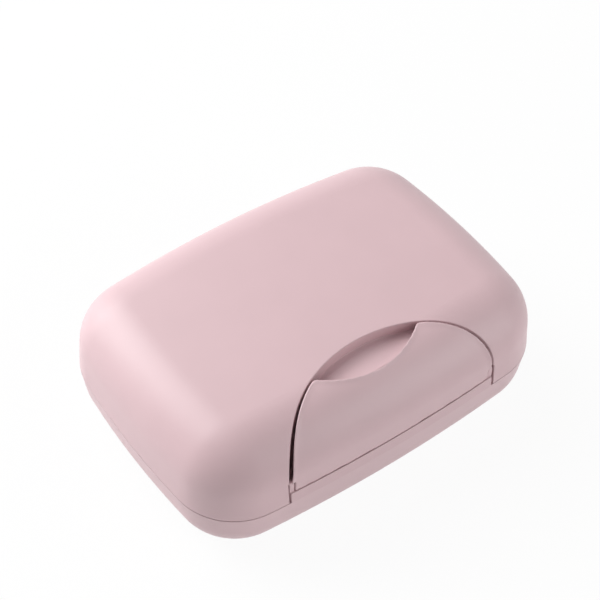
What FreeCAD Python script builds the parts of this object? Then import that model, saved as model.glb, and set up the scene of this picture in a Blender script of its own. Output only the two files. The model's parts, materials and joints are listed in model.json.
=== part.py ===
"""Travel soap box: a domed lid on a bowl-shaped tray, closed by a curved flap at the front.

Frame: millimetres, +Z up, +X along the length, the flap at the front (-Y).
The origin is the middle of the flat bottom that the box stands on.
"""
import FreeCAD, Part
import math
import os
import Sketcher

SIZES = [
    # Outside form, shared by the lid and the tray where they meet
    ("length", 110.0, "outside length at the seam"),
    ("width", 79.8, "outside width at the seam"),
    ("long_side_radius", 450.0, "bow of the front and back walls"),
    ("short_side_radius", 265.0, "bow of the end walls"),
    ("corner_radius", 17.6, "plan radius of the corners"),
    ("base_height", 17.0, "bottom to the seam"),
    ("lid_height", 23.2, "seam to the crest of the lid"),
    ("lid_draft", 5.0, "lean of the lid walls in degrees"),
    ("base_draft", 7.0, "lean of the tray walls in degrees"),
    ("lid_round", 15.0, "shoulder radius of the lid"),
    ("base_round", 12.0, "bottom edge radius of the tray"),
    ("dome_radius", 700.0, "crown of the lid top"),
    # Walls and the seam
    ("lid_wall", 1.8, "lid wall thickness"),
    ("floor", 2.0, "tray floor and latch deck thickness"),
    ("seam_gap", 0.25, "parting line between tray and lid"),
    ("tongue_gap", 0.5, "lid wall to the tray's upstand, at the seam"),
    ("tongue_wall", 1.2, "thickness of the upstand"),
    ("tongue_height", 2.2, "upstand above the seam"),
    ("seal_inset", 0.5, "outside face to the seal ring"),
    ("seal_width", 0.9, "seal ring across"),
    ("seal_depth", 1.1, "seal ring below the seam"),
    ("seal_clear", 0.1, "room around the seal ring in its groove"),
    # Latch flap
    ("flap_wall", 1.8, "flap thickness"),
    ("flap_sink", 0.15, "flap face below the lid's outside"),
    ("flap_gap", 0.45, "gap between the flap and the lid"),
    ("arch_radius", 38.6, "plan radius of the flap's top edge"),
    ("arch_depth", 18.5, "front face to the back of the arch"),
    ("notch_radius", 26.9, "plan radius of the thumb notch"),
    ("notch_depth", 9.7, "front face to the foot of the notch"),
    ("flap_width", 64.2075, "flap across the front"),
    ("tip_radius", 1.2, "plan radius of the flap's two tips"),
    ("scoop_radius", 20.0, "hollow of the thumb scoop"),
    ("scoop_back", 15.6, "front face to the lowest line of the scoop"),
    ("scoop_depth", 3.9, "crest of the lid to the lowest line of the scoop"),
    # Latch hinge
    ("barrel_radius", 1.0, "eyes around the latch pin, on the flap and on the lugs"),
    ("latch_back", 1.15, "flap face at its ends to the latch pin"),
    ("latch_rise", 2.55, "top of the band to the latch pin"),
    ("band_height", 3.4, "raised band above the seam"),
    ("band_short", 0.2, "end of the band to the end of the flap"),
    ("fold_gap", 0.35, "lower edge of the flap to the band"),
    ("swing_clear", 0.15, "lower edge of the swinging flap to the hollow behind the band"),
    ("lug_width", 1.4, "pin lugs along the pin"),
    ("lug_gap", 0.25, "play between the lugs and the flap"),
    ("latch_pin_radius", 0.5, "latch pin"),
    ("latch_pin_short", 0.3, "end of the latch pin to the end of the flap"),
    ("pin_clear", 0.05, "running clearance of the pins"),
    # Lid hinge
    ("knuckle_radius", 2.0, "eye of the hinge knuckles"),
    ("knuckle_offset", 2.3, "rear face to the hinge axis"),
    ("lid_knuckle_width", 8.0, "lid knuckle along the pin"),
    ("base_knuckle_width", 4.0, "tray knuckle along the pin"),
    ("knuckle_gap", 0.3, "play between neighbouring knuckles"),
    ("hinge_spacing", 52.0, "between the two hinges"),
    ("hinge_pin_radius", 0.9, "hinge pin"),
    # Drain rack
    ("rack_wall", 1.8, "rack plate thickness"),
    ("rack_leg_height", 4.0, "tray floor to the rack plate"),
    ("rack_leg_radius", 2.5, "rack legs"),
    ("rack_inset", 3.6, "tray wall at the seam to the rack's edge"),
    ("rack_slot_width", 4.0, "drain slots"),
    ("rack_slot_length", 26.0, "drain slots"),
    ("rack_slot_pitch", 8.0, "drain slots"),
    ("rack_slot_count", 9, "drain slots"),
    ("rack_slot_shift", 4.0, "middle of the box back to the middle of the slots"),
    ("rack_leg_end", 17.5, "end of the box to the middle of the legs"),
    ("rack_leg_side", 22.7, "side of the box to the middle of the legs"),
    ("rack_clear", 0.6, "rack to the latch deck"),
]

# Sheet of driving sizes
doc = FreeCAD.newDocument("soap_box")
sheet = doc.addObject("Spreadsheet::Sheet", "Sizes")
for row, (alias, size, meaning) in enumerate(SIZES, start=1):
    sheet.set(f"A{row}", meaning)
    sheet.set(f"B{row}", str(size))
    sheet.setAlias(f"B{row}", alias)
doc.recompute()

# Sizes that follow from the driving ones
FRONT = "(-Sizes.width / 2)"
REAR = "(Sizes.width / 2)"
SEAM = "Sizes.base_height"
RIM = "(Sizes.base_height + Sizes.seam_gap)"
CREST = "(Sizes.base_height + Sizes.lid_height)"
TONGUE_OUT = "(Sizes.lid_wall + Sizes.tongue_gap)"
BASE_WALL = f"({TONGUE_OUT} + Sizes.tongue_wall)"
ARCH_Y = f"({FRONT} + Sizes.arch_depth - Sizes.arch_radius)"
FLAP_HALF = "(Sizes.flap_width / 2)"
NOTCH_Y = f"({FRONT} + Sizes.notch_depth + Sizes.notch_radius)"
LATCH_Z = f"({SEAM} + Sizes.band_height + Sizes.latch_rise)"
BARREL_HALF = f"({FLAP_HALF} - Sizes.lug_width - Sizes.lug_gap)"
FACE_INSET = f"(Sizes.flap_sink + tan(Sizes.lid_draft) * ({LATCH_Z} - {RIM}))"
FACE_BOW = f"(Sizes.long_side_radius - sqrt((Sizes.long_side_radius - {FACE_INSET})^2 - {BARREL_HALF}^2))"
LATCH_Y = f"({FRONT} + {FACE_BOW} + Sizes.latch_back)"
SKIRT = "(Sizes.latch_rise - Sizes.fold_gap)"
SKIRT_LEAN = f"(tan(Sizes.lid_draft) * {SKIRT})"
SWING_MIDDLE = f"sqrt(({LATCH_Y} - {FRONT} - {FACE_INSET} + {SKIRT_LEAN})^2 + {SKIRT}^2)"
SWING_END = f"sqrt((Sizes.latch_back + {SKIRT_LEAN})^2 + {SKIRT}^2)"
HINGE_Y = f"({REAR} + Sizes.knuckle_offset)"
HINGE_Z = f"({SEAM} + Sizes.seam_gap / 2)"
RACK_Z = "(Sizes.floor + Sizes.rack_leg_height)"

# How far a cutting shape runs past what it cuts
OVER = "Sizes.floor"

# Largest share of a corner's plan radius that an edge round may take
ROUND_SHARE = 0.97


def number(expression):
    """Value of an expression on the sheet."""
    return float(sheet.evalExpression(expression))


def move(part, x="0", y="0", z="0"):
    """Ties a part's place to the sheet."""
    for axis, expression in zip("xyz", (x, y, z)):
        part.setExpression(f"Placement.Base.{axis}", expression)


def box(name, x, y, z):
    """Box between three pairs of low and high expressions."""
    part = doc.addObject("Part::Box", name)
    for side, (low, high) in zip(("Length", "Width", "Height"), (x, y, z)):
        part.setExpression(side, f"{high} - ({low})")
    move(part, x[0], y[0], z[0])
    return part


def upright(name, radius, x, y, z):
    """Cylinder along Z between a pair of heights."""
    part = doc.addObject("Part::Cylinder", name)
    part.setExpression("Radius", radius)
    part.setExpression("Height", f"{z[1]} - ({z[0]})")
    move(part, x, y, z[0])
    return part


def crosswise(name, radius, x, y, z):
    """Cylinder along X between a pair of places."""
    part = doc.addObject("Part::Cylinder", name)
    part.Placement.Rotation = FreeCAD.Rotation(FreeCAD.Vector(0, 1, 0), 90)
    part.setExpression("Radius", radius)
    part.setExpression("Height", f"{x[1]} - ({x[0]})")
    move(part, x[0], y, z)
    return part


def cut(name, base, tool):
    """Base without tool."""
    part = doc.addObject("Part::Cut", name)
    part.Base = base
    part.Tool = tool
    return part


def fuse(name, *shapes):
    """All shapes as one."""
    part = doc.addObject("Part::MultiFuse", name)
    part.Shapes = list(shapes)
    return part


def common(name, *shapes):
    """What all shapes share."""
    part = doc.addObject("Part::MultiCommon", name)
    part.Shapes = list(shapes)
    return part


def softened(name, base, radius, wanted):
    """Base with the edges rounded that a test picks out."""
    doc.recompute()
    size = number(radius)
    edges = enumerate(base.Shape.Edges, start=1)
    part = doc.addObject("Part::Fillet", name)
    part.Base = base
    part.Edges = [(index, size, size) for index, edge in edges if wanted(edge.BoundBox)]
    return part


def both_ways(half):
    """Pair of places at the same distance left and right of the middle."""
    return f"-({half})", f"({half})"


def origin_plane(body, role):
    """One of a body's own origin planes."""
    return next(plane for plane in body.Origin.OriginFeatures if plane.Role == role)


def new_sketch(body, name, role, offset="0"):
    """Empty sketch on a plane parallel to one of the body's origin planes."""
    sketch = body.newObject("Sketcher::SketchObject", name)
    sketch.AttachmentSupport = [(origin_plane(body, role), "")]
    sketch.MapMode = "FlatFace"
    sketch.setExpression("AttachmentOffset.Base.z", offset)
    return sketch


def bind(sketch, name, expression, *constraint):
    """Adds a sized constraint and ties it to the sheet."""
    index = sketch.addConstraint(Sketcher.Constraint(*constraint, number(expression)))
    sketch.renameConstraint(index, name)
    sketch.setExpression(f"Constraints.{name}", expression)


def outline_sketch(body, name, inset, level):
    """Plan outline of the box, moved inwards: four bowed sides and four round corners."""
    sketch = new_sketch(body, name, "XY_Plane", level)
    side_y = number("Sizes.long_side_radius - Sizes.width / 2")
    side_x = number("Sizes.length / 2 - Sizes.short_side_radius")
    long_reach = number("Sizes.long_side_radius - Sizes.corner_radius")
    short_reach = number("Sizes.short_side_radius - Sizes.corner_radius")
    corner = corner_centre(side_x, side_y, long_reach, short_reach)
    low = math.atan2(corner.y - side_y, corner.x)
    high = math.atan2(corner.y, corner.x - side_x)
    half = math.pi
    long_radius = f"Sizes.long_side_radius - ({inset})"
    short_radius = f"Sizes.short_side_radius - ({inset})"
    corner_radius = f"Sizes.corner_radius - ({inset})"
    arcs = [
        ("front", 0, side_y, long_radius, -half - low, low),
        ("front_right", corner.x, corner.y, corner_radius, low, high),
        ("right", side_x, 0, short_radius, high, -high),
        ("back_right", corner.x, -corner.y, corner_radius, -high, -low),
        ("back", 0, -side_y, long_radius, -low, half + low),
        ("back_left", -corner.x, -corner.y, corner_radius, half + low, half + high),
        ("left", -side_x, 0, short_radius, half + high, half - high),
        ("front_left", -corner.x, corner.y, corner_radius, half - high, half - low),
    ]
    for side, x, y, radius, start, end in arcs:
        circle = Part.Circle(FreeCAD.Vector(x, y, 0), FreeCAD.Vector(0, 0, 1), number(radius))
        sketch.addGeometry(Part.ArcOfCircle(circle, start, end))
    for index in range(len(arcs)):
        sketch.addConstraint(Sketcher.Constraint("Tangent", index, 2, (index + 1) % len(arcs), 1))
    for index, (side, x, y, radius, start, end) in enumerate(arcs):
        bind(sketch, f"{side}_radius", radius, "Radius", index)
    long_centre = "Sizes.long_side_radius - Sizes.width / 2"
    short_centre = "Sizes.short_side_radius - Sizes.length / 2"
    for index, side, sign in ((0, "front", ""), (4, "back", "-")):
        sketch.addConstraint(Sketcher.Constraint("PointOnObject", index, 3, -2))
        bind(sketch, f"{side}_centre", f"{sign}({long_centre})", "DistanceY", -1, 1, index, 3)
    for index, side, sign in ((2, "right", "-"), (6, "left", "")):
        sketch.addConstraint(Sketcher.Constraint("PointOnObject", index, 3, -1))
        bind(sketch, f"{side}_centre", f"{sign}({short_centre})", "DistanceX", -1, 1, index, 3)
    return sketch


def corner_centre(side_x, side_y, long_reach, short_reach):
    """Centre of the front right corner, inside both neighbouring side arcs."""
    between = math.hypot(side_x, side_y)
    along = (short_reach**2 - long_reach**2 + between**2) / (2 * between)
    across = math.sqrt(short_reach**2 - along**2)
    unit_x = -side_x / between
    unit_y = side_y / between
    return FreeCAD.Vector(side_x + along * unit_x + across * unit_y, along * unit_y - across * unit_x, 0)


def rounded(body, feature, radius, wanted):
    """Rounds the edges of a feature that a test picks out."""
    doc.recompute()
    edges = enumerate(feature.Shape.Edges, start=1)
    fillet = body.newObject("PartDesign::Fillet", f"{body.Name}_round")
    fillet.Base = (feature, [f"Edge{index}" for index, edge in edges if wanted(edge.BoundBox)])
    fillet.setExpression("Radius", radius)
    return fillet


def round_limit(radius, inset, draft, depth):
    """An edge radius, kept smaller than the corners that the leaning walls leave."""
    corner = f"Sizes.corner_radius - ({inset}) - tan({draft}) * ({depth})"
    return f"min({radius}; {ROUND_SHARE} * ({corner}))"


def prism(name, inset, low, high):
    """Upright solid on the box's outline, moved inwards."""
    body = doc.addObject("PartDesign::Body", name)
    pad = body.newObject("PartDesign::Pad", f"{name}_pad")
    pad.Profile = outline_sketch(body, f"{name}_outline", inset, low)
    pad.setExpression("Length", f"{high} - ({low})")
    return body


def lid_form(name, inset, low):
    """Leaning walls up to a domed top with a round shoulder."""
    body = doc.addObject("PartDesign::Body", name)
    pad = body.newObject("PartDesign::Pad", f"{name}_pad")
    pad.Profile = outline_sketch(body, f"{name}_outline", inset, low)
    pad.setExpression("Length", f"{CREST} - ({low})")
    pad.setExpression("TaperAngle", "-Sizes.lid_draft")
    groove = body.newObject("PartDesign::Groove", f"{name}_dome")
    groove.Profile = dome_sketch(body, f"{name}_dome_line", inset)
    groove.ReferenceAxis = (groove.Profile[0], ["V_Axis"])
    groove.Angle = 360
    radius = round_limit(f"Sizes.lid_round - ({inset})", inset, "Sizes.lid_draft", "Sizes.lid_height")
    walls_top = number(f"{SEAM} + Sizes.lid_height / 2")
    rounded(body, groove, radius, lambda edge: edge.ZMin > walls_top)
    return body


def dome_sketch(body, name, inset):
    """Area above the lid's crown, to be turned about Z."""
    sketch = new_sketch(body, name, "XZ_Plane")
    radius = f"Sizes.dome_radius - ({inset})"
    centre = f"{CREST} - Sizes.dome_radius"
    reach = number("Sizes.length")
    centre_z = number(centre)
    radius_now = number(radius)
    top = number(f"{CREST} + {OVER}")
    edge_z = centre_z + math.sqrt(radius_now**2 - reach**2)
    crown = FreeCAD.Vector(0, centre_z + radius_now, 0)
    edge = FreeCAD.Vector(reach, edge_z, 0)
    edge_top = FreeCAD.Vector(reach, top, 0)
    crown_top = FreeCAD.Vector(0, top, 0)
    circle = Part.Circle(FreeCAD.Vector(0, centre_z, 0), FreeCAD.Vector(0, 0, 1), radius_now)
    sketch.addGeometry(Part.ArcOfCircle(circle, math.acos(reach / radius_now), math.pi / 2))
    for start, end in ((edge, edge_top), (edge_top, crown_top), (crown_top, crown)):
        sketch.addGeometry(Part.LineSegment(start, end))
    for first, first_end, second, second_end in ((0, 1, 1, 1), (1, 2, 2, 1), (2, 2, 3, 1), (3, 2, 0, 2)):
        sketch.addConstraint(Sketcher.Constraint("Coincident", first, first_end, second, second_end))
    sketch.addConstraint(Sketcher.Constraint("Vertical", 1))
    sketch.addConstraint(Sketcher.Constraint("Horizontal", 2))
    sketch.addConstraint(Sketcher.Constraint("PointOnObject", 0, 3, -2))
    sketch.addConstraint(Sketcher.Constraint("PointOnObject", 3, 1, -2))
    sketch.addConstraint(Sketcher.Constraint("PointOnObject", 3, 2, -2))
    bind(sketch, "crown_radius", radius, "Radius", 0)
    bind(sketch, "crown_centre", centre, "DistanceY", -1, 1, 0, 3)
    bind(sketch, "reach", "Sizes.length", "DistanceX", -1, 1, 1, 2)
    bind(sketch, "top", f"{CREST} + {OVER}", "DistanceY", -1, 1, 1, 2)
    return sketch


def base_form(name, inset, low):
    """Leaning walls from the seam down to a flat floor with a round edge."""
    body = doc.addObject("PartDesign::Body", name)
    pad = body.newObject("PartDesign::Pad", f"{name}_pad")
    pad.Profile = outline_sketch(body, f"{name}_outline", inset, SEAM)
    pad.Reversed = True
    pad.setExpression("Length", f"{SEAM} - ({low})")
    pad.setExpression("TaperAngle", "-Sizes.base_draft")
    radius = round_limit(f"Sizes.base_round - ({low})", inset, "Sizes.base_draft", "Sizes.base_height")
    seam_half = number(f"{SEAM} / 2")
    rounded(body, pad, radius, lambda edge: edge.ZMax < seam_half)
    return body


def latch_pocket(name, grow, low, high):
    """Upright hollow that the flap closes and swings in, grown outwards, less the scoop's nose."""
    gap = f"(Sizes.flap_gap + {grow})"
    x = both_ways(f"{FLAP_HALF} + {gap}")
    arch = upright(f"{name}_arch", f"Sizes.arch_radius + {gap}", "0", ARCH_Y, (low, high))
    sides = box(f"{name}_sides", x, (f"2 * {FRONT}", "0"), (low, high))
    nose = upright(f"{name}_nose", f"Sizes.notch_radius - {gap}", "0", NOTCH_Y, (low, high))
    swing = box(f"{name}_swing", x, (f"2 * {FRONT}", f"{LATCH_Y} + {SWING_END} + {gap}"),
                (low, f"{LATCH_Z} + Sizes.barrel_radius + {gap}"))
    area = cut(f"{name}_area", common(f"{name}_arched", arch, sides), nose)
    return fuse(name, area, swing)


def loop(name, inset, low, high):
    """Upright solid on the lid's own outline at the seam, latch pocket left out, moved inwards."""
    pocket = latch_pocket(f"{name}_pocket", inset, f"{low} - {OVER}", f"{high} + {OVER}")
    return cut(name, prism(f"{name}_prism", inset, low, high), pocket)


def ring(name, outside, inside, low, high):
    """Closed loop between two insets from the lid's outline."""
    return cut(name, loop(f"{name}_out", outside, low, high), loop(f"{name}_in", inside, low, high))


# Lid shell
def scoop(name, grow):
    """Trough under the thumb, bounded at the back by the arch."""
    middle = f"{CREST} - Sizes.scoop_depth + Sizes.scoop_radius"
    span = both_ways(FLAP_HALF)
    trough = crosswise(f"{name}_trough", f"Sizes.scoop_radius + {grow}", span,
                       f"{FRONT} + Sizes.scoop_back", middle)
    arch = upright(f"{name}_arch", f"Sizes.arch_radius + Sizes.flap_gap + {grow}", "0", ARCH_Y,
                   (SEAM, f"{CREST} + {OVER}"))
    return common(name, trough, arch)


def hinge_ends(side):
    """Middle of one lid hinge along X."""
    return f"({side} * Sizes.hinge_spacing / 2)"


def knuckle(name, x, z):
    """Eye around the hinge axis with its arm into the rear wall."""
    eye = crosswise(f"{name}_eye", "Sizes.knuckle_radius", x, HINGE_Y, HINGE_Z)
    arm = box(f"{name}_arm", x, (f"{REAR} - Sizes.lid_wall - Sizes.tongue_gap", HINGE_Y), z)
    return fuse(name, eye, arm)


def hinge_bore(name, side):
    """Bore for one hinge pin, through all of its knuckles."""
    half = "(Sizes.lid_knuckle_width / 2 + Sizes.knuckle_gap + Sizes.base_knuckle_width)"
    middle = hinge_ends(side)
    x = (f"{middle} - {half} - {OVER}", f"{middle} + {half} + {OVER}")
    return crosswise(name, "Sizes.hinge_pin_radius + Sizes.pin_clear", x, HINGE_Y, HINGE_Z)


def build_lid():
    """Lid: outer form less its room, the latch pocket and the thumb scoop, with two knuckles."""
    pocket_span = (f"{SEAM} - {OVER}", f"{CREST} + {OVER}")
    kept = fuse("lid_kept", latch_pocket("lid_pocket_wall", "Sizes.lid_wall", *pocket_span),
                scoop("lid_scoop_wall", "Sizes.lid_wall"))
    room = cut("lid_room", lid_form("lid_inside", "Sizes.lid_wall", RIM), kept)
    pocket = latch_pocket("lid_pocket", "0", *pocket_span)
    hollows = fuse("lid_hollows", room, pocket, scoop("lid_scoop", "0"))
    pieces = [cut("lid_walls", lid_form("lid_outside", "0", RIM), hollows)]
    bores = []
    for label, side in (("left", -1), ("right", 1)):
        middle = hinge_ends(side)
        x = (f"{middle} - Sizes.lid_knuckle_width / 2", f"{middle} + Sizes.lid_knuckle_width / 2")
        pieces.append(knuckle(f"lid_knuckle_{label}", x, (RIM, f"{HINGE_Z} + Sizes.knuckle_radius")))
        bores.append(hinge_bore(f"lid_bore_{label}", side))
    return cut("lid", fuse("lid_with_knuckles", *pieces), fuse("lid_bores", *bores))


# Base tray
def build_base():
    """Tray: bowl with a rim, an upstand, a seal groove, the latch deck, the band and its pin lugs."""
    deck = latch_pocket("deck", BASE_WALL, f"{SEAM} - Sizes.floor", f"{SEAM} + {OVER}")
    room = cut("base_room", base_form("base_inside", BASE_WALL, "Sizes.floor"), deck)
    bowl = cut("bowl", base_form("base_outside", "0", "0"), room)
    groove = ring("seal_groove", "Sizes.seal_inset - Sizes.seal_clear",
                  "Sizes.seal_inset + Sizes.seal_width + Sizes.seal_clear",
                  f"{SEAM} - Sizes.seal_depth - Sizes.seal_clear", f"{SEAM} + {OVER}")
    tongue = ring("tongue", TONGUE_OUT, BASE_WALL, f"{SEAM} - Sizes.floor", f"{SEAM} + Sizes.tongue_height")
    pieces = [bowl, tongue, build_band()]
    hollows = [groove, swing_hollow(), latch_bore("lug_bore")]
    for label, side in (("left", -1), ("right", 1)):
        pieces.append(pin_lug(f"lug_{label}", side))
        middle = hinge_ends(side)
        inner = "(Sizes.lid_knuckle_width / 2 + Sizes.knuckle_gap)"
        outer = f"({inner} + Sizes.base_knuckle_width)"
        spans = [
            (f"{middle} - {outer}", f"{middle} - {inner}"),
            (f"{middle} + {inner}", f"{middle} + {outer}"),
        ]
        for place, x in zip("ab", spans):
            name = f"base_knuckle_{label}_{place}"
            pieces.append(knuckle(name, x, (f"{HINGE_Z} - Sizes.knuckle_radius", SEAM)))
        hollows.append(hinge_bore(f"base_bore_{label}", side))
    return cut("base", fuse("base_pieces", *pieces), fuse("base_hollows", *hollows))


def build_band():
    """Raised band under the flap, carrying the tray's bowed front wall up to the fold."""
    body = doc.addObject("PartDesign::Body", "band_walls")
    pad = body.newObject("PartDesign::Pad", "band_pad")
    pad.Profile = outline_sketch(body, "band_outline", "0", SEAM)
    pad.setExpression("Length", "Sizes.band_height")
    pad.setExpression("TaperAngle", "-Sizes.lid_draft")
    x = both_ways(f"{FLAP_HALF} - Sizes.band_short")
    front = box("band_front", x, (f"2 * {FRONT}", LATCH_Y), (SEAM, f"{SEAM} + Sizes.band_height"))
    return common("band", body, front)


def swing_hollow():
    """Room behind the band's lip for the flap's bowed lower edge, turned about the latch pin."""
    body = doc.addObject("PartDesign::Body", "swing_hollow")
    sketch = new_sketch(body, "swing_profile", "XY_Plane", LATCH_Z)
    sketch.setExpression("AttachmentOffset.Base.y", LATCH_Y)
    half = f"({FLAP_HALF} - Sizes.lug_width)"
    middle = f"({SWING_MIDDLE} + Sizes.swing_clear)"
    end = f"({SWING_END} + Sizes.swing_clear)"
    bow = f"(({half}^2 + ({middle} - {end})^2) / (2 * ({middle} - {end})))"
    x = number(half)
    foot = -number(end)
    radius = number(bow)
    centre = FreeCAD.Vector(0, radius - number(middle), 0)
    reach = math.asin(x / radius)
    corners = [FreeCAD.Vector(*place) for place in ((-x, foot, 0), (-x, 0, 0), (x, 0, 0), (x, foot, 0))]
    circle = Part.Circle(centre, FreeCAD.Vector(0, 0, 1), radius)
    down = -math.pi / 2
    sketch.addGeometry(Part.ArcOfCircle(circle, down - reach, down + reach))
    for first, second in zip(corners, corners[1:]):
        sketch.addGeometry(Part.LineSegment(first, second))
    for joint in ((0, 1, 1, 1), (1, 2, 2, 1), (2, 2, 3, 1), (3, 2, 0, 2)):
        sketch.addConstraint(Sketcher.Constraint("Coincident", *joint))
    sketch.addConstraint(Sketcher.Constraint("Vertical", 1))
    sketch.addConstraint(Sketcher.Constraint("Vertical", 3))
    sketch.addConstraint(Sketcher.Constraint("PointOnObject", 2, 1, -1))
    sketch.addConstraint(Sketcher.Constraint("PointOnObject", 2, 2, -1))
    sketch.addConstraint(Sketcher.Constraint("PointOnObject", 0, 3, -2))
    bind(sketch, "bow", bow, "Radius", 0)
    bind(sketch, "left", f"-{half}", "DistanceX", -1, 1, 2, 1)
    bind(sketch, "right", half, "DistanceX", -1, 1, 2, 2)
    bind(sketch, "foot", f"-{end}", "DistanceY", -1, 1, 0, 1)
    turned = body.newObject("PartDesign::Revolution", "swing_turned")
    turned.Profile = sketch
    turned.ReferenceAxis = (sketch, ["H_Axis"])
    turned.Angle = 360
    return body


def pin_lug(name, side):
    """Lug on the end of the band that holds the latch pin."""
    ends = [f"{side} * {FLAP_HALF}", f"{side} * ({FLAP_HALF} - Sizes.lug_width)"]
    x = tuple(sorted(ends, key=number))
    eye = crosswise(f"{name}_eye", "Sizes.barrel_radius", x, LATCH_Y, LATCH_Z)
    y = (f"{LATCH_Y} - Sizes.barrel_radius", f"{LATCH_Y} + Sizes.barrel_radius")
    post = box(f"{name}_post", x, y, (f"{SEAM} - Sizes.floor / 2", LATCH_Z))
    return fuse(name, eye, post)


def latch_bore(name):
    """Bore for the latch pin."""
    span = both_ways(f"2 * {FLAP_HALF}")
    return crosswise(name, "Sizes.latch_pin_radius + Sizes.pin_clear", span, LATCH_Y, LATCH_Z)


# Latch flap
def flap_outline():
    """Upright prism on the flap's plan: straight sides, arched top edge, thumb notch and round tips."""
    height = (f"{LATCH_Z} - {SKIRT}", f"{CREST} + {OVER}")
    arch = upright("flap_arch", "Sizes.arch_radius", "0", ARCH_Y, height)
    sides = box("flap_sides", both_ways(FLAP_HALF), (f"2 * {FRONT}", "0"), height)
    notch = upright("flap_notch", "Sizes.notch_radius", "0", NOTCH_Y, height)
    sharp = cut("flap_sharp_outline", common("flap_arched", arch, sides), notch)
    tips = number("Sizes.notch_radius")

    def is_tip(edge):
        return edge.ZLength > edge.XLength + edge.YLength and abs(edge.Center.x) < tips

    return softened("flap_outline", sharp, "Sizes.tip_radius", is_tip)


def build_flap():
    """Flap: plate that follows the lid's outside, trimmed to its outline, with an eye along its foot."""
    outside = lid_form("flap_outside", "Sizes.flap_sink", RIM)
    inside = lid_form("flap_inside", "(Sizes.flap_sink + Sizes.flap_wall)", RIM)
    plate = cut("flap_plate", common("flap_block", outside, flap_outline()), inside)
    barrel = crosswise("flap_barrel", "Sizes.barrel_radius", both_ways(BARREL_HALF), LATCH_Y, LATCH_Z)
    y = (f"2 * {FRONT}", "0")
    z = ("0", f"{LATCH_Z} + Sizes.barrel_radius + Sizes.lug_gap")
    lug_rooms = fuse("flap_lug_rooms",
                     box("flap_lug_room_left", (f"-2 * {FLAP_HALF}", f"-{BARREL_HALF}"), y, z),
                     box("flap_lug_room_right", (BARREL_HALF, f"2 * {FLAP_HALF}"), y, z))
    with_eye = fuse("flap_with_eye", cut("flap_clear_of_lugs", plate, lug_rooms), barrel)
    return cut("flap", with_eye, latch_bore("flap_bore"))


# Pins, seal ring and drain rack
def build_hinge_pin(name, side):
    """Pin of one lid hinge, as long as its row of knuckles."""
    half = "(Sizes.lid_knuckle_width / 2 + Sizes.knuckle_gap + Sizes.base_knuckle_width)"
    middle = hinge_ends(side)
    x = (f"{middle} - {half}", f"{middle} + {half}")
    return crosswise(name, "Sizes.hinge_pin_radius", x, HINGE_Y, HINGE_Z)


def build_latch_pin():
    """Pin that the flap turns on."""
    x = both_ways(f"{FLAP_HALF} - Sizes.latch_pin_short")
    return crosswise("pin_of_latch", "Sizes.latch_pin_radius", x, LATCH_Y, LATCH_Z)


def build_seal():
    """Seal ring, standing just proud of its groove under the lid's rim."""
    return ring("seal", "Sizes.seal_inset", "Sizes.seal_inset + Sizes.seal_width",
                f"{SEAM} - Sizes.seal_depth", f"{RIM} - Sizes.pin_clear")


def build_rack():
    """Drain rack: slotted plate on four legs, cut back to lift past the latch deck."""
    inset = f"({BASE_WALL} + Sizes.rack_inset)"
    body = doc.addObject("PartDesign::Body", "rack_plate")
    pad = body.newObject("PartDesign::Pad", "rack_pad")
    pad.Profile = outline_sketch(body, "rack_outline", inset, RACK_Z)
    pad.setExpression("Length", "Sizes.rack_wall")
    doc.recompute()
    slots = body.newObject("PartDesign::Pocket", "rack_slot")
    slots.Profile = slot_sketch(body)
    slots.Type = 1
    slots.Midplane = True
    row = body.newObject("PartDesign::LinearPattern", "rack_slots")
    row.Originals = [slots]
    row.Direction = (slots.Profile[0], ["H_Axis"])
    row.setExpression("Length", "Sizes.rack_slot_pitch * (Sizes.rack_slot_count - 1)")
    row.setExpression("Occurrences", "Sizes.rack_slot_count")
    body.Tip = row
    deck_edge = latch_pocket("rack_front", f"({BASE_WALL} + Sizes.rack_clear)",
                             f"{RACK_Z} - {OVER}", f"{RACK_Z} + Sizes.rack_wall + {OVER}")
    pieces = [cut("rack_cut_back", body, deck_edge)]
    leg_span = ("Sizes.floor", f"{RACK_Z} + Sizes.rack_wall / 2")
    for end, x in zip(("left", "right"), both_ways("Sizes.length / 2 - Sizes.rack_leg_end")):
        for side, y in zip(("front", "back"), both_ways("Sizes.width / 2 - Sizes.rack_leg_side")):
            pieces.append(upright(f"rack_leg_{side}_{end}", "Sizes.rack_leg_radius", x, y, leg_span))
    return fuse("rack", *pieces)


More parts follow.
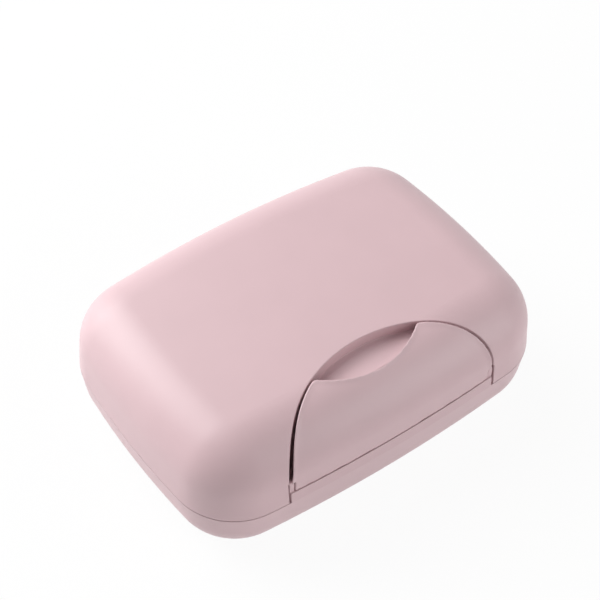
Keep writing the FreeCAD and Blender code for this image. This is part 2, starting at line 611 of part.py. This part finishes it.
def slot_sketch(body):
    """One drain slot at the left end of the row."""
    sketch = new_sketch(body, "rack_slot_outline", "XY_Plane", RACK_Z)
    left = "-Sizes.rack_slot_pitch * (Sizes.rack_slot_count - 1) / 2"
    middle = number(left)
    radius = number("Sizes.rack_slot_width / 2")
    reach = number("(Sizes.rack_slot_length - Sizes.rack_slot_width) / 2")
    shift = number("Sizes.rack_slot_shift")
    axis = FreeCAD.Vector(0, 0, 1)
    top = FreeCAD.Vector(middle, shift + reach, 0)
    low = FreeCAD.Vector(middle, shift - reach, 0)
    right = FreeCAD.Vector(radius, 0, 0)
    sketch.addGeometry([
        Part.ArcOfCircle(Part.Circle(top, axis, radius), 0, math.pi),
        Part.LineSegment(top - right, low - right),
        Part.ArcOfCircle(Part.Circle(low, axis, radius), math.pi, 2 * math.pi),
        Part.LineSegment(low + right, top + right),
    ])
    for joint in ((0, 2, 1, 1), (1, 2, 2, 1), (2, 2, 3, 1), (3, 2, 0, 1)):
        sketch.addConstraint(Sketcher.Constraint("Tangent", *joint))
    sketch.addConstraint(Sketcher.Constraint("Vertical", 1))
    sketch.addConstraint(Sketcher.Constraint("Equal", 0, 2))
    bind(sketch, "radius", "Sizes.rack_slot_width / 2", "Radius", 0)
    bind(sketch, "place", left, "DistanceX", -1, 1, 0, 3)
    half = "(Sizes.rack_slot_length - Sizes.rack_slot_width) / 2"
    bind(sketch, "top", f"Sizes.rack_slot_shift + {half}", "DistanceY", -1, 1, 0, 3)
    bind(sketch, "foot", f"Sizes.rack_slot_shift - {half}", "DistanceY", -1, 1, 2, 3)
    return sketch


NODES = {
    "lid_shell": build_lid(),
    "base_tray": build_base(),
    "latch_flap": build_flap(),
    "latch_pin": build_latch_pin(),
    "hinge_pin_left": build_hinge_pin("pin_of_hinge_left", -1),
    "hinge_pin_right": build_hinge_pin("pin_of_hinge_right", 1),
    "seal_ring": build_seal(),
    "drain_rack": build_rack(),
}
for label, part in NODES.items():
    part.Label = label
doc.recompute()

# Every object has to be sound before anything is written
for part in doc.Objects:
    if "Invalid" in part.State or "Error" in part.State:
        raise RuntimeError(f"{part.Name} failed: {part.State}")
for label, part in NODES.items():
    if part.Shape.isNull() or not part.Shape.isValid():
        raise RuntimeError(f"{label} has no sound shape")
    if len(part.Shape.Solids) != 1:
        raise RuntimeError(f"{label} has {len(part.Shape.Solids)} solids")

os.makedirs("parts", exist_ok=True)
for label, part in NODES.items():
    part.Shape.exportStep(f"parts/{label}.step")
    print(label, round(part.Shape.Volume, 1), part.Shape.BoundBox)
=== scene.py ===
"""Looks of the travel soap box: satin pink plastic, steel pins and a pale seal, on a white table.

Metres, in the part's own frame: +Z up, +X along the length, the latch flap at the front (-Y).
"""
import json
import math

import bmesh
import bpy
from mathutils import Matrix, Vector


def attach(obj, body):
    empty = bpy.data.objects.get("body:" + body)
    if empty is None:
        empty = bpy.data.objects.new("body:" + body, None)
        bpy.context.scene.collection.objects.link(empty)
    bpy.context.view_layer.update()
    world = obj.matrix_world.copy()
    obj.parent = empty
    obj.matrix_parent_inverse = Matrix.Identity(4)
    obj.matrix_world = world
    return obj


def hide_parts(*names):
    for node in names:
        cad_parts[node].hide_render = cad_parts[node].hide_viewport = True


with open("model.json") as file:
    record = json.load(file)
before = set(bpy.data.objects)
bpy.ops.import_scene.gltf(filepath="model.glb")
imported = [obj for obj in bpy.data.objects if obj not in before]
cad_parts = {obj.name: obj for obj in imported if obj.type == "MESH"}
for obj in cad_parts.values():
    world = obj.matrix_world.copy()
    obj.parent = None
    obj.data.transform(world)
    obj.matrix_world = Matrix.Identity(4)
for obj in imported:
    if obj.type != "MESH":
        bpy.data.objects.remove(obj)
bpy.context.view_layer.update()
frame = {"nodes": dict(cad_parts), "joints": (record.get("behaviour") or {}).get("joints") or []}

MM = 0.001


# Shader arithmetic
class Wire:
    """A shader socket that Python arithmetic can build on."""

    def __init__(self, finish, socket):
        self.finish = finish
        self.socket = socket

    def maths(self, operation, first, second):
        return self.finish.node("ShaderNodeMath", {"operation": operation}, {0: first, 1: second})

    def __add__(self, other):
        return self.maths("ADD", self, other)

    def __radd__(self, other):
        return self.maths("ADD", other, self)

    def __sub__(self, other):
        return self.maths("SUBTRACT", self, other)

    def __rsub__(self, other):
        return self.maths("SUBTRACT", other, self)

    def __mul__(self, other):
        return self.maths("MULTIPLY", self, other)

    def __rmul__(self, other):
        return self.maths("MULTIPLY", other, self)

    def lesser(self, other):
        return self.maths("MINIMUM", self, other)


class Finish:
    """A node material, or the world, under construction."""

    def __init__(self, tree):
        self.tree = tree
        self.tree.nodes.clear()

    def node(self, kind, settings, inputs, output=0):
        """Adds a node: its settings first, then the values or links of its sockets."""
        made = self.tree.nodes.new(kind)
        for key, value in settings.items():
            setattr(made, key, value)
        for key, value in inputs.items():
            if isinstance(value, Wire):
                self.tree.links.new(value.socket, made.inputs[key])
            else:
                made.inputs[key].default_value = value
        return Wire(self, made.outputs[output]) if made.outputs else None

    def place(self, stretch=(1, 1, 1)):
        """The piece's own coordinates, in metres, stretched for a drawn-out pattern."""
        spot = self.node("ShaderNodeTexCoord", {}, {}, "Object")
        return self.node("ShaderNodeMapping", {}, {"Vector": spot, "Scale": stretch})

    def noise(self, size, detail, spot):
        """Soft noise whose patches are about one size across."""
        return self.node("ShaderNodeTexNoise", {}, {"Vector": spot, "Scale": 1 / size, "Detail": detail})

    def blend(self, factor, first, second):
        """Colour between two others."""
        return self.node("ShaderNodeMix", {"data_type": "RGBA"}, {0: factor, 6: first, 7: second}, 2)

    def plan_distance(self, spot, middle_y):
        """Distance in plan from a point on the middle line across the box."""
        flat = self.node("ShaderNodeVectorMath", {"operation": "MULTIPLY"}, {0: spot, 1: (1, 1, 0)})
        ends = {0: flat, 1: (0, middle_y, 0)}
        return self.node("ShaderNodeVectorMath", {"operation": "DISTANCE"}, ends, "Value")

    def relief(self, height, depth, edge_radius):
        """Surface relief of a real depth, over edges that are a little round."""
        edges = self.node("ShaderNodeBevel", {"samples": 8}, {"Radius": edge_radius})
        inputs = {"Strength": 1.0, "Distance": depth, "Height": height, "Normal": edges}
        return self.node("ShaderNodeBump", {}, inputs)

    def white_seen(self):
        """1 where the camera, a shiny face or a clear one sees this directly, else 0."""
        rays = "ShaderNodeLightPath"
        straight = self.node(rays, {}, {}, "Is Camera Ray") + self.node(rays, {}, {}, "Is Glossy Ray")
        either = straight + self.node(rays, {}, {}, "Is Transmission Ray")
        return self.node("ShaderNodeClamp", {}, {"Value": either})


def new_finish(name):
    """An empty material with its node tree to fill."""
    material = bpy.data.materials.new(name)
    material.use_nodes = True
    return material, Finish(material.node_tree)


def mesh_of(shape, name, material):
    """Mesh of a shape that is done with, in one material."""
    mesh = bpy.data.meshes.new(name)
    shape.to_mesh(mesh)
    shape.free()
    mesh.materials.append(material)
    return mesh


def add_to_scene(name, data):
    """New object at the origin."""
    thing = bpy.data.objects.new(name, data)
    bpy.context.scene.collection.objects.link(thing)
    return thing


# Round edges of the latch flap, as circles in plan
ARCH_RADIUS = 38.6 * MM
ARCH_Y = -60.0 * MM
NOTCH_RADIUS = 26.9 * MM
NOTCH_Y = -3.3 * MM
RIM_WIDTH = 1.0 * MM


def from_edge(spot):
    """Distance in plan from the nearer of the flap's two round edges, the arch and the notch."""
    inside_arch = ARCH_RADIUS - math.hypot(spot.x, spot.y - ARCH_Y)
    outside_notch = math.hypot(spot.x, spot.y - NOTCH_Y) - NOTCH_RADIUS
    return max(min(inside_arch, outside_notch), 0)


def rim_gloss(finish, spot):
    """1 at the arch and the notch, where the mould is smooth, falling to 0 a rim's width inside."""
    inside_arch = ARCH_RADIUS - finish.plan_distance(spot, ARCH_Y)
    outside_notch = finish.plan_distance(spot, NOTCH_Y) - NOTCH_RADIUS
    rims_inside = inside_arch.lesser(outside_notch) * (1 / RIM_WIDTH)
    return finish.node("ShaderNodeClamp", {}, {"Value": 1 - rims_inside})


# Finishes
SHELL_COLOUR = (0.70, 0.50, 0.527)
RACK_COLOUR = (0.72, 0.55, 0.575)
CLOUD_SIZE = 14 * MM
CLOUD_CONTRAST = 0.03
GRAIN_SIZE = 0.3 * MM
GRAIN_DEPTH = 0.005 * MM
SHELL_EDGE = 0.45 * MM
GLOSS_ROUGHNESS = 0.2

STREAK_WIDTH = 0.12 * MM
STREAK_STRETCH = (0.03, 1, 1)
STREAK_DEPTH = 0.004 * MM
PIN_EDGE = 0.1 * MM

DUST_SIZE = 0.5 * MM
DUST_DEPTH = 0.004 * MM
SEAL_CLOUD_SIZE = 9 * MM
SEAL_EDGE = 0.12 * MM


def moulded_plastic(name, colour, gloss=None):
    """Satin plastic from a finely blasted mould: even colour, faint clouds, fine grain, gloss where asked."""
    material, finish = new_finish(name)
    spot = finish.place()
    clouds = finish.noise(CLOUD_SIZE, 2, spot)
    grain = finish.noise(GRAIN_SIZE, 2, spot)
    deep = [(1 - CLOUD_CONTRAST) * level for level in colour]
    pale = [(1 + CLOUD_CONTRAST) * level for level in colour]
    inputs = {
        "Base Color": finish.blend(clouds, (*deep, 1), (*pale, 1)),
        "Roughness": 0.36 + 0.10 * grain + 0.04 * clouds,
        "Normal": finish.relief(grain, GRAIN_DEPTH, SHELL_EDGE),
    }
    if gloss:
        inputs["Coat Weight"] = gloss(finish, spot)
        inputs["Coat Roughness"] = GLOSS_ROUGHNESS
    surface = finish.node("ShaderNodeBsdfPrincipled", {}, inputs)
    finish.node("ShaderNodeOutputMaterial", {}, {"Surface": surface})
    return material


def drawn_steel(name):
    """Stainless wire, drawn along X."""
    material, finish = new_finish(name)
    streaks = finish.noise(STREAK_WIDTH, 3, finish.place(STREAK_STRETCH))
    surface = finish.node("ShaderNodeBsdfPrincipled", {}, {
        "Base Color": finish.blend(streaks, (0.52, 0.53, 0.55, 1), (0.70, 0.71, 0.73, 1)),
        "Metallic": 1.0,
        "Roughness": 0.22 + 0.16 * streaks,
        "Normal": finish.relief(streaks, STREAK_DEPTH, PIN_EDGE),
    })
    finish.node("ShaderNodeOutputMaterial", {}, {"Surface": surface})
    return material


def pale_silicone(name):
    """Soft silicone with a dusty skin."""
    material, finish = new_finish(name)
    spot = finish.place()
    dust = finish.noise(DUST_SIZE, 3, spot)
    clouds = finish.noise(SEAL_CLOUD_SIZE, 2, spot)
    surface = finish.node("ShaderNodeBsdfPrincipled", {}, {
        "Base Color": finish.blend(clouds, (0.77, 0.74, 0.73, 1), (0.83, 0.81, 0.80, 1)),
        "Roughness": 0.50 + 0.14 * dust,
        "Normal": finish.relief(dust, DUST_DEPTH, SEAL_EDGE),
    })
    finish.node("ShaderNodeOutputMaterial", {}, {"Surface": surface})
    return material


shell_plastic = moulded_plastic("shell_plastic_satin", SHELL_COLOUR)
flap_plastic = moulded_plastic("flap_plastic_satin", SHELL_COLOUR, rim_gloss)
rack_plastic = moulded_plastic("rack_plastic_satin", RACK_COLOUR)
pin_steel = drawn_steel("pin_steel_drawn")
seal_rubber = pale_silicone("seal_rubber_silicone")

FINISHES = {
    "lid_shell": shell_plastic,
    "base_tray": shell_plastic,
    "latch_flap": flap_plastic,
    "latch_pin": pin_steel,
    "hinge_pin_left": pin_steel,
    "hinge_pin_right": pin_steel,
    "seal_ring": seal_rubber,
    "drain_rack": rack_plastic,
}


def dress(node, material):
    """Gives a piece its finish in place of the plain colour it came with."""
    slots = frame["nodes"][node].data.materials
    slots.clear()
    slots.append(material)


for node, material in FINISHES.items():
    dress(node, material)


# Latch flap with round rims
latch_hinge = next(joint for joint in frame["joints"] if joint["name"] == "latch_hinge")
_, LATCH_Y, LATCH_Z = latch_hinge["pos_m"]
FLAP_BORE = 0.62 * MM

FLAP_FOOT = 21.0 * MM
FLAP_FOOT_ROOM = 0.12 * MM
FLAP_EYE_TOP = 24.4 * MM

SHOULDER_Y = -24.2 * MM
SHOULDER_Z = 25.0 * MM
FLAP_PROUD = 0.4 * MM
FLAP_PROUD_FROM = 27.0 * MM
RIM_RISE = 0.5 * MM
RIM_PASSES = 24

FLAP_GRID = 0.22 * MM
MERGE_WITHIN = 0.001 * MM


def flap_with_low_foot():
    """Copy of the solid flap, its corners merged and its foot let down to a hairline above the band."""
    shape = bmesh.new()
    shape.from_mesh(frame["nodes"]["latch_flap"].data)
    bmesh.ops.remove_doubles(shape, verts=shape.verts, dist=MERGE_WITHIN)
    foot = [corner for corner in shape.verts if corner.co.z < FLAP_FOOT]
    bmesh.ops.translate(shape, vec=(0, 0, -FLAP_FOOT_ROOM), verts=foot)
    return shape


def even_skin(thing):
    """Mesh of an object rebuilt from small squares of one size."""
    skin = thing.modifiers.new("even_skin", "REMESH")
    skin.mode = "VOXEL"
    skin.voxel_size = FLAP_GRID
    skin.use_smooth_shade = True
    mesh = bpy.data.meshes.new_from_object(thing.evaluated_get(bpy.context.evaluated_depsgraph_get()))
    thing.modifiers.clear()
    return mesh


def stand_proud(corner):
    """Moves a corner out from the middle of the shoulder's bend: not at the foot, most along the rims."""
    spot = corner.co
    share = min(max((spot.z - FLAP_FOOT) / (FLAP_PROUD_FROM - FLAP_FOOT), 0), 1)
    rim = max(1 - from_edge(spot) / RIM_WIDTH, 0)
    out = Vector((0, spot.y - SHOULDER_Y, max(spot.z - SHOULDER_Z, 0))).normalized()
    corner.co += (FLAP_PROUD + RIM_RISE * rim) * share * out


def clear_pin(corner):
    """Moves a corner of the bore straight out from the pin, to the bore's full radius."""
    across = Vector((0, corner.co.y - LATCH_Y, corner.co.z - LATCH_Z))
    if 0 < across.length < FLAP_BORE:
        corner.co += across.normalized() * (FLAP_BORE - across.length)


def round_rims(mesh):
    """Raises the flap and its rims a little, then smooths all that is above the eye."""
    shape = bmesh.new()
    shape.from_mesh(mesh)
    for corner in shape.verts:
        stand_proud(corner)
        clear_pin(corner)
    upper = [corner for corner in shape.verts if corner.co.z > FLAP_EYE_TOP]
    every_way = {"use_axis_x": True, "use_axis_y": True, "use_axis_z": True}
    for _ in range(RIM_PASSES):
        bmesh.ops.smooth_vert(shape, verts=upper, factor=0.5, **every_way)
    shape.to_mesh(mesh)
    shape.free()


def soft_flap():
    """Flap as moulded: the solid's own form, with round rims that stand a little proud."""
    flap = add_to_scene("latch_flap_soft", mesh_of(flap_with_low_foot(), "latch_flap_soft", flap_plastic))
    flap.data = even_skin(flap)
    round_rims(flap.data)
    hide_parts("latch_flap")
    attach(flap, "flap")


soft_flap()


# Table and backdrop
TABLE_RADIUS = 1.5
TABLE_SIDES = 64
TABLE_GLOW = 0.94
TABLE_MOTTLE = 0.4
EVEN_LIGHT = 0.18
WHITE = (1, 1, 1, 1)


def table_white():
    """Matt white that shows as nearly pure white and still keeps a faint shadow."""
    material, finish = new_finish("table_white")
    mottle = finish.noise(TABLE_MOTTLE, 2, finish.place())
    matt = finish.node("ShaderNodeBsdfDiffuse", {}, {
        "Color": finish.blend(mottle, (0.91, 0.91, 0.91, 1), (0.94, 0.94, 0.94, 1)),
    })
    glow = finish.node("ShaderNodeEmission", {}, {"Color": WHITE, "Strength": 1.0})
    seen = TABLE_GLOW * finish.white_seen()
    surface = finish.node("ShaderNodeMixShader", {}, {0: seen, 1: matt, 2: glow})
    finish.node("ShaderNodeOutputMaterial", {}, {"Surface": surface})
    return material


def white_table():
    """Wide round table top at the height of the box's flat bottom."""
    shape = bmesh.new()
    bmesh.ops.create_circle(shape, cap_ends=True, segments=TABLE_SIDES, radius=TABLE_RADIUS)
    table = add_to_scene("table", mesh_of(shape, "table", table_white()))


def white_surroundings():
    """Even light from all round, and plain white behind the table."""
    world = bpy.data.worlds.new("white_surroundings")
    world.use_nodes = True
    finish = Finish(world.node_tree)
    even = finish.node("ShaderNodeBackground", {}, {"Color": WHITE, "Strength": EVEN_LIGHT})
    white = finish.node("ShaderNodeBackground", {}, {"Color": WHITE, "Strength": 1.0})
    backdrop = finish.node("ShaderNodeMixShader", {}, {0: finish.white_seen(), 1: even, 2: white})
    finish.node("ShaderNodeOutputWorld", {}, {"Surface": backdrop})
    bpy.context.scene.world = world


white_table()
white_surroundings()


# Lamps
BOX_MIDDLE = Vector((0, 0, 19.23 * MM))
LAMP_DISTANCE = 1.0
LAMP_SIZE = 0.7


def softbox(name, towards, level):
    """Square lamp aimed at the box; level is the share of white that it gives a face turned to it."""
    lamp = bpy.data.lights.new(name, "AREA")
    lamp.shape = "SQUARE"
    lamp.size = LAMP_SIZE
    lamp.energy = math.pi**2 * LAMP_DISTANCE**2 * level
    holder = add_to_scene(name, lamp)
    direction = Vector(towards).normalized()
    holder.rotation_euler = direction.to_track_quat("Z", "Y").to_euler()
    holder.location = BOX_MIDDLE + direction * LAMP_DISTANCE


softbox("back_left_softbox", (-0.5, 0.75, 0.45), 0.70)
softbox("front_right_softbox", (0.5, -0.8, 0.335), 0.42)
softbox("high_softbox", (-0.3, 0.7, 0.9), 0.62)


# Camera
VIEW_TURN = math.radians(-37.02)
VIEW_LIFT = math.radians(50.11)
VIEW_ROLL = math.radians(1.65)
VIEW_DISTANCE = 411.7 * MM
AIM_RIGHT = -1.36 * MM
AIM_UP = 10.65 * MM
SENSOR_WIDTH = 36
LENS = 93.2
NEAREST_SEEN = 10 * MM


def place_camera():
    """Camera at the photograph's angle: from the front left, high up, rolled a little."""
    back = Vector((
        math.sin(VIEW_TURN) * math.cos(VIEW_LIFT),
        -math.cos(VIEW_TURN) * math.cos(VIEW_LIFT),
        math.sin(VIEW_LIFT),
    ))
    level = Vector((math.cos(VIEW_TURN), math.sin(VIEW_TURN), 0))
    above = back.cross(level)
    right = level * math.cos(VIEW_ROLL) + above * math.sin(VIEW_ROLL)
    up = above * math.cos(VIEW_ROLL) - level * math.sin(VIEW_ROLL)
    spot = BOX_MIDDLE + back * VIEW_DISTANCE
    aim = BOX_MIDDLE + right * AIM_RIGHT + up * AIM_UP
    look_back = (spot - aim).normalized()
    look_right = up.cross(look_back).normalized()
    look_up = look_back.cross(look_right)
    lens = bpy.data.cameras.new("camera")
    lens.sensor_width = SENSOR_WIDTH
    lens.lens = LENS
    lens.clip_start = NEAREST_SEEN
    holder = add_to_scene("camera", lens)
    turn = Matrix((look_right, look_up, look_back)).transposed().to_4x4()
    holder.matrix_world = Matrix.Translation(spot) @ turn
    bpy.context.scene.camera = holder


place_camera()
bpy.context.scene.view_settings.view_transform = "Standard"
